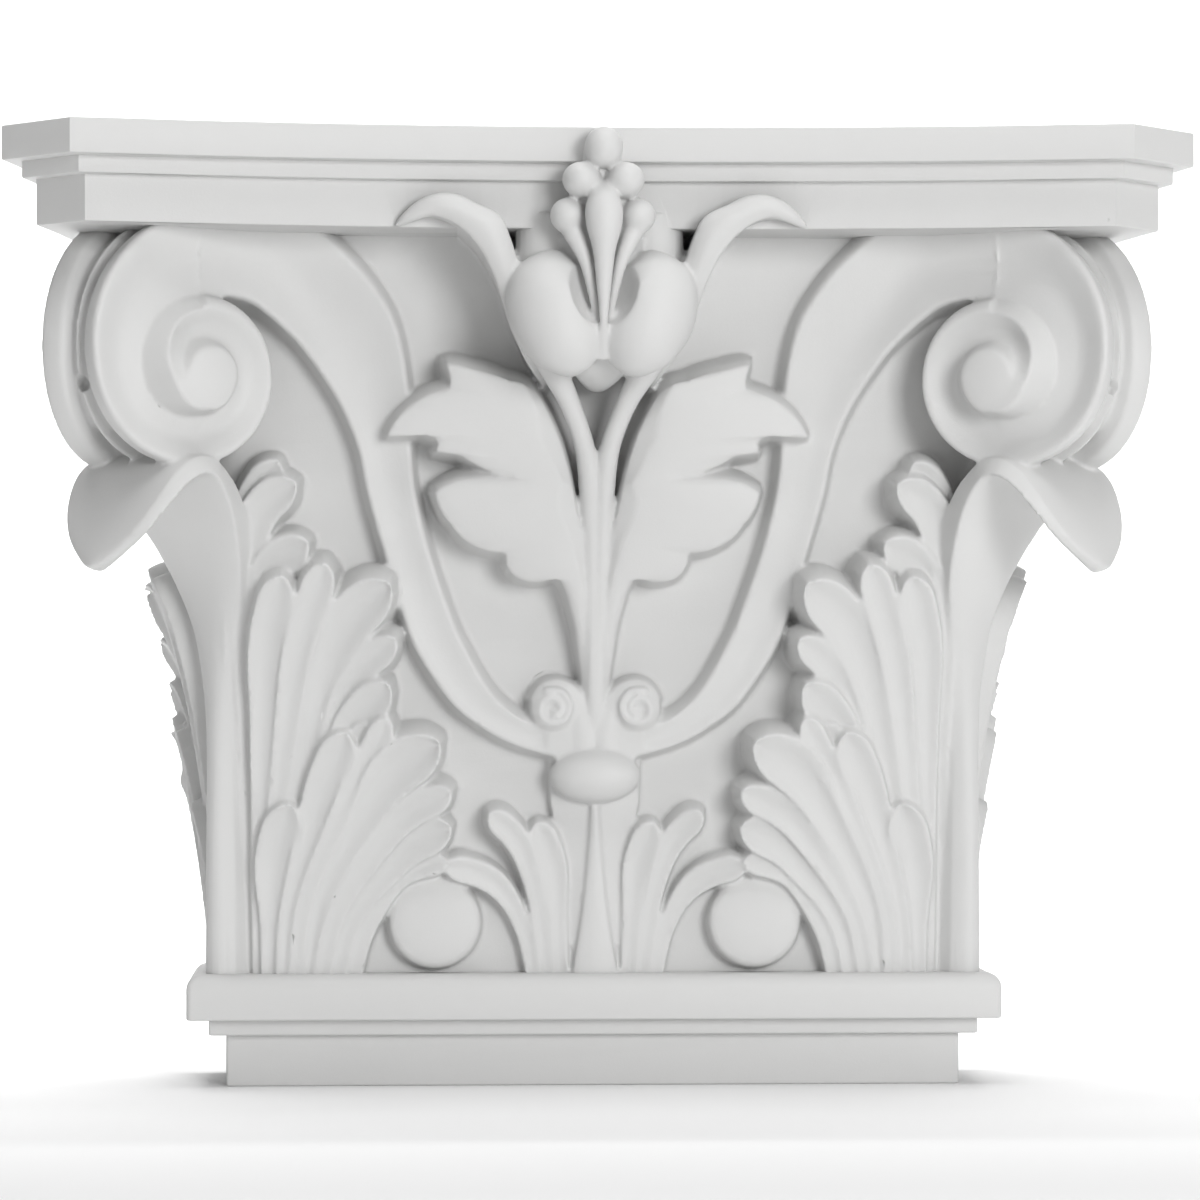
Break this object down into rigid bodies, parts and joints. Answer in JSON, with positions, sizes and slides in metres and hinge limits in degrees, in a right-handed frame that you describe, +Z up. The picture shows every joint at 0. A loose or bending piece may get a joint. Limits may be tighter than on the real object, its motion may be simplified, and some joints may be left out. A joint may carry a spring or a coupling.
{
  "type": "corinthian pilaster capital",
  "caption": "Corinthian pilaster capital with concave abacus, corner scrolls, acanthus leaves and a central flower, flat at the back for fixing to a wall.",
  "frame": {"origin": "middle of the plain block's underside, where the pilaster shaft meets it", "axes": "+X to the right along the wall, +Y towards the wall, +Z up to the abacus"},
  "size_m": [0.481, 0.165, 0.39],
  "materials": {
    "primed_casting": "white factory primer, matte"
  },
  "bodies": {
    "root": {"capital": "primed_casting"}
  },
  "joints": []
}
